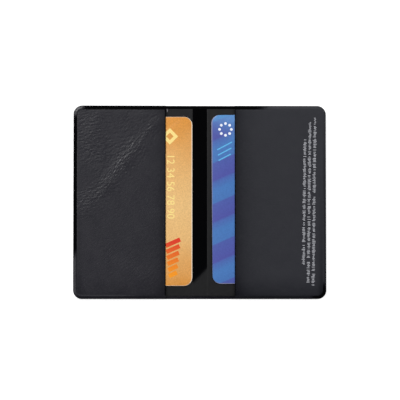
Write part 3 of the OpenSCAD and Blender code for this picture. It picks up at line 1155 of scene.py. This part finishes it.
# Each soft lamp: its direction round the sleeve and its angle from straight up in degrees, its size
# in metres, and its share of the light that shows a white face as white.
LAMPS = {
    "key_lamp": (128, 43, 0.6, 0.52),
    "right_lamp": (15, 48, 0.6, 0.25),
    "left_lamp": (200, 50, 0.5, 0.13),
    "front_lamp": (285, 52, 0.5, 0.13),
}


def flat_lamp(name, turn, zenith, size, share):
    """A soft lamp aimed at the sleeve, with both angles in radians."""
    lamp = bpy.data.lights.new(name, "AREA")
    lamp.shape, lamp.size = "SQUARE", size
    lamp.energy = share * math.pi**2 * LAMP_DISTANCE**2 / math.cos(zenith)
    holder = new_object(name, lamp)
    aim = Vector((math.sin(zenith) * math.cos(turn), math.sin(zenith) * math.sin(turn), math.cos(zenith)))
    holder.location = aim * LAMP_DISTANCE
    holder.rotation_euler = aim.to_track_quat("Z", "Y").to_euler()


def studio_white():
    """Matt white studio surface. It glows for the camera and for reflections only, so that it shows
    as white there, adds no light to the sleeve and still takes its shadow."""
    albedo, glow = 0.6, 0.72
    material, tree = start_material("studio_white")
    path = add(tree, "LightPath").outputs
    rays = {0: path["Is Camera Ray"], 1: path["Is Glossy Ray"]}
    seen = add(tree, "Math", rays, operation="MAXIMUM")
    either = add(tree, "Math", {0: seen, 1: path["Is Transmission Ray"]}, operation="MAXIMUM")
    strength = add(tree, "Math", {0: either, 1: glow}, operation="MULTIPLY")
    matt = add(tree, "BsdfDiffuse", {"Color": (albedo, albedo, albedo, 1)})
    light = add(tree, "Emission", {"Color": (1, 1, 1, 1), "Strength": strength})
    both = add(tree, "AddShader", {0: matt, 1: light})
    add(tree, "OutputMaterial", {"Surface": both})
    return material


def studio():
    """A white floor that curves up into a low white wall, under a dim ceiling."""
    flat_reach = FLOOR_REACH - FLOOR_CURVE
    profile = [(0.02, 0.0), (0.3, 0.0), (flat_reach, 0.0)]
    for angle in (math.pi / 2 * i / 10 for i in range(1, 11)):
        rise = FLOOR_CURVE - FLOOR_CURVE * math.cos(angle)
        profile.append((flat_reach + FLOOR_CURVE * math.sin(angle), rise))
    profile.append((FLOOR_REACH, WALL_HEIGHT))
    turns = [2 * math.pi * i / FLOOR_SIDES for i in range(FLOOR_SIDES)]
    shape = bmesh.new()
    rings = [
        [shape.verts.new((reach * math.cos(t), reach * math.sin(t), height - FLOOR_GAP)) for t in turns]
        for reach, height in profile
    ]
    shape.faces.new(rings[0])
    for inner, outer in zip(rings, rings[1:]):
        for i in range(FLOOR_SIDES):
            j = (i + 1) % FLOOR_SIDES
            shape.faces.new((inner[i], outer[i], outer[j], inner[j])).smooth = True
    mesh = bpy.data.meshes.new("studio_floor")
    shape.to_mesh(mesh)
    shape.free()
    mesh.materials.append(studio_white())
    new_object("studio_floor", mesh)


def camera():
    """Looks down from a long way off, a little nearer to the lower left, as the photograph does. The
    picture's middle lies just above the sleeve's."""
    picture_w, picture_middle = 202.45 * MM, metres(0.07, 1.09, POCKET_TOP)
    nearer_foot, nearer_left = math.radians(2.9), math.radians(1.3)
    data = bpy.data.cameras.new("camera")
    data.sensor_width = 36.0
    data.lens = data.sensor_width * CAMERA_DISTANCE / picture_w
    data.clip_end = 20
    holder = new_object("camera", data)
    turn = Matrix.Rotation(-nearer_left, 4, "Y") @ Matrix.Rotation(nearer_foot, 4, "X")
    back = Matrix.Translation((0, 0, CAMERA_DISTANCE))
    holder.matrix_world = Matrix.Translation(picture_middle) @ turn @ back
    bpy.context.scene.camera = holder


def world():
    """A dim ceiling, which is what a glossy black face turned straight up reflects."""
    ceiling = bpy.data.worlds.new("studio_ceiling")
    ceiling.use_nodes = True
    background = ceiling.node_tree.nodes["Background"]
    background.inputs["Color"].default_value = (0.9, 0.95, 1.0, 1)
    background.inputs["Strength"].default_value = 0.025
    bpy.context.scene.world = ceiling


class SLEEVE_OT_stage(bpy.types.Operator):
    """Sets up the studio: floor, ceiling, lamps and camera"""

    bl_idname = "sleeve.stage"
    bl_label = "Studio"

    def execute(self, context):
        context.scene.view_settings.view_transform = "Standard"
        studio()
        world()
        for name, (turn, zenith, size, share) in LAMPS.items():
            flat_lamp(name, math.radians(turn), math.radians(zenith), size, share)
        camera()
        return {"FINISHED"}


class SLEEVE_OT_sheets(bpy.types.Operator):
    """Makes the cover, foil, lining and weld of both halves"""

    bl_idname = "sleeve.sheets"
    bl_label = "Laminated sheets"

    def execute(self, context):
        embossed, lining, foil = embossed_pvc(), lining_film(), foil_laminate()
        for side in (-1, 1):
            cover_sheet(side, embossed)
            foil_sheet(side, foil)
            lining_sheet(side, lining)
            weld_band(side, embossed)
        return {"FINISHED"}


class SLEEVE_OT_left_pocket(bpy.types.Operator):
    """Makes the embossed left pocket sheet with its wrinkles"""

    bl_idname = "sleeve.left_pocket"
    bl_label = "Left pocket"

    def execute(self, context):
        pocket_sheet(
            -1,
            once(bpy.data.materials, embossed_pvc),
            embossed_relief,
            step=0.37,
            past_weld=0.3,
            worn_shade=0.33,
            worn_shade_reach=4.0,
            foot_wear_shade=0.17,
            masks={"creased": creased, "fanned": fanned},
        )
        highlight_bead()
        return {"FINISHED"}


class SLEEVE_OT_right_pocket(bpy.types.Operator):
    """Makes the smooth right pocket sheet and the small print on it"""

    bl_idname = "sleeve.right_pocket"
    bl_label = "Right pocket"

    def execute(self, context):
        pocket_sheet(
            1,
            calendered_pvc(),
            smooth_relief,
            step=1.2,
            past_weld=0.15,
            worn_shade=0.42,
            worn_shade_reach=5.0,
            foot_wear_shade=0.28,
        )
        ink = screen_ink("grey_ink", context.scene.sleeve.print_colour, 0.6)
        values = {"First row": metres(*ROWS_TOP, POCKET_TOP + 0.005), "Material": ink}
        rows = from_nodes("pocket_print", tick_rows(), values)
        printed_on(rows, "right_half")
        return {"FINISHED"}


class SLEEVE_OT_gold_card(bpy.types.Operator):
    """Makes the gold card's printed face and finishes its other pieces"""

    bl_idname = "sleeve.gold_card"
    bl_label = "Gold card"

    def execute(self, context):
        finish_card("gold_card", gold_print())
        top = span("gold_card_front")[1].z
        pale = screen_ink("pale_ink", linear("fbe08c"))
        figures = digits("gold_card_figures", "12 34 56 78 90", 5.4, (*FIGURES_MIDDLE, top + 0.01), pale)
        emblem = lozenge("gold_card_lozenge", LOZENGE_MIDDLE, 4.2, 1.9, top - 0.005, top + 0.015, pale)
        values = {
            "First": metres(*BARS_TOP, top),
            "Bars": context.scene.cards.bars,
            "Material": graded_red_ink(),
        }
        bars = from_nodes("gold_card_bars", once(bpy.data.node_groups, slanted_bars), values)
        for motif in (figures, emblem, bars):
            printed_on(motif, "gold_card")
        return {"FINISHED"}


class SLEEVE_OT_blue_card(bpy.types.Operator):
    """Makes the blue card's printed face and finishes its other pieces"""

    bl_idname = "sleeve.blue_card"
    bl_label = "Blue card"

    def execute(self, context):
        finish_card("blue_card", blue_print())
        paint("blue_card_antenna", copper_wire())
        top = span("blue_card_front")[1].z
        ring = {
            "Middle": metres(*RING_MIDDLE, top),
            "Dots": context.scene.cards.dots,
            "Material": screen_ink("white_ink", linear("eef2fb")),
        }
        stack = {
            "First": metres(*LINES_TOP, top),
            "Bars": 3,
            "Pitch": 2.9 * MM,
            "Bar length": 8.5 * MM,
            "Bar width": 0.6 * MM,
            "Slant": math.radians(28),
            "Material": screen_ink("cyan_ink", linear("5fb4e6")),
        }
        dots = from_nodes("blue_card_dots", dot_ring(), ring)
        lines = from_nodes("blue_card_lines", once(bpy.data.node_groups, slanted_bars), stack)
        for motif in (dots, lines):
            printed_on(motif, "blue_card")
        return {"FINISHED"}


STEPS = ("stage", "sheets", "left_pocket", "right_pocket", "gold_card", "blue_card")


class SLEEVE_PT_panel(bpy.types.Panel):
    """Lists the sleeve's sizes and the steps that make it"""

    bl_idname = "SLEEVE_PT_panel"
    bl_label = "Card sleeve"
    bl_space_type = "VIEW_3D"
    bl_region_type = "UI"
    bl_category = "Sleeve"

    def draw(self, context):
        for settings in (context.scene.sleeve, context.scene.cards):
            for name in settings.bl_rna.properties.keys():
                if name not in ("rna_type", "name"):
                    self.layout.prop(settings, name)
        for step in STEPS:
            self.layout.operator(f"sleeve.{step}")


CLASSES = (
    SleeveSettings,
    CardSettings,
    SLEEVE_OT_stage,
    SLEEVE_OT_sheets,
    SLEEVE_OT_left_pocket,
    SLEEVE_OT_right_pocket,
    SLEEVE_OT_gold_card,
    SLEEVE_OT_blue_card,
    SLEEVE_PT_panel,
)


def register():
    for kind in CLASSES:
        bpy.utils.register_class(kind)
    bpy.types.Scene.sleeve = PointerProperty(type=SleeveSettings)
    bpy.types.Scene.cards = PointerProperty(type=CardSettings)


def unregister():
    del bpy.types.Scene.cards
    del bpy.types.Scene.sleeve
    for kind in reversed(CLASSES):
        bpy.utils.unregister_class(kind)


def main():
    """Makes every piece in order."""
    register()
    for step in STEPS:
        getattr(bpy.ops.sleeve, step)()


if __name__ == "__main__":
    main()
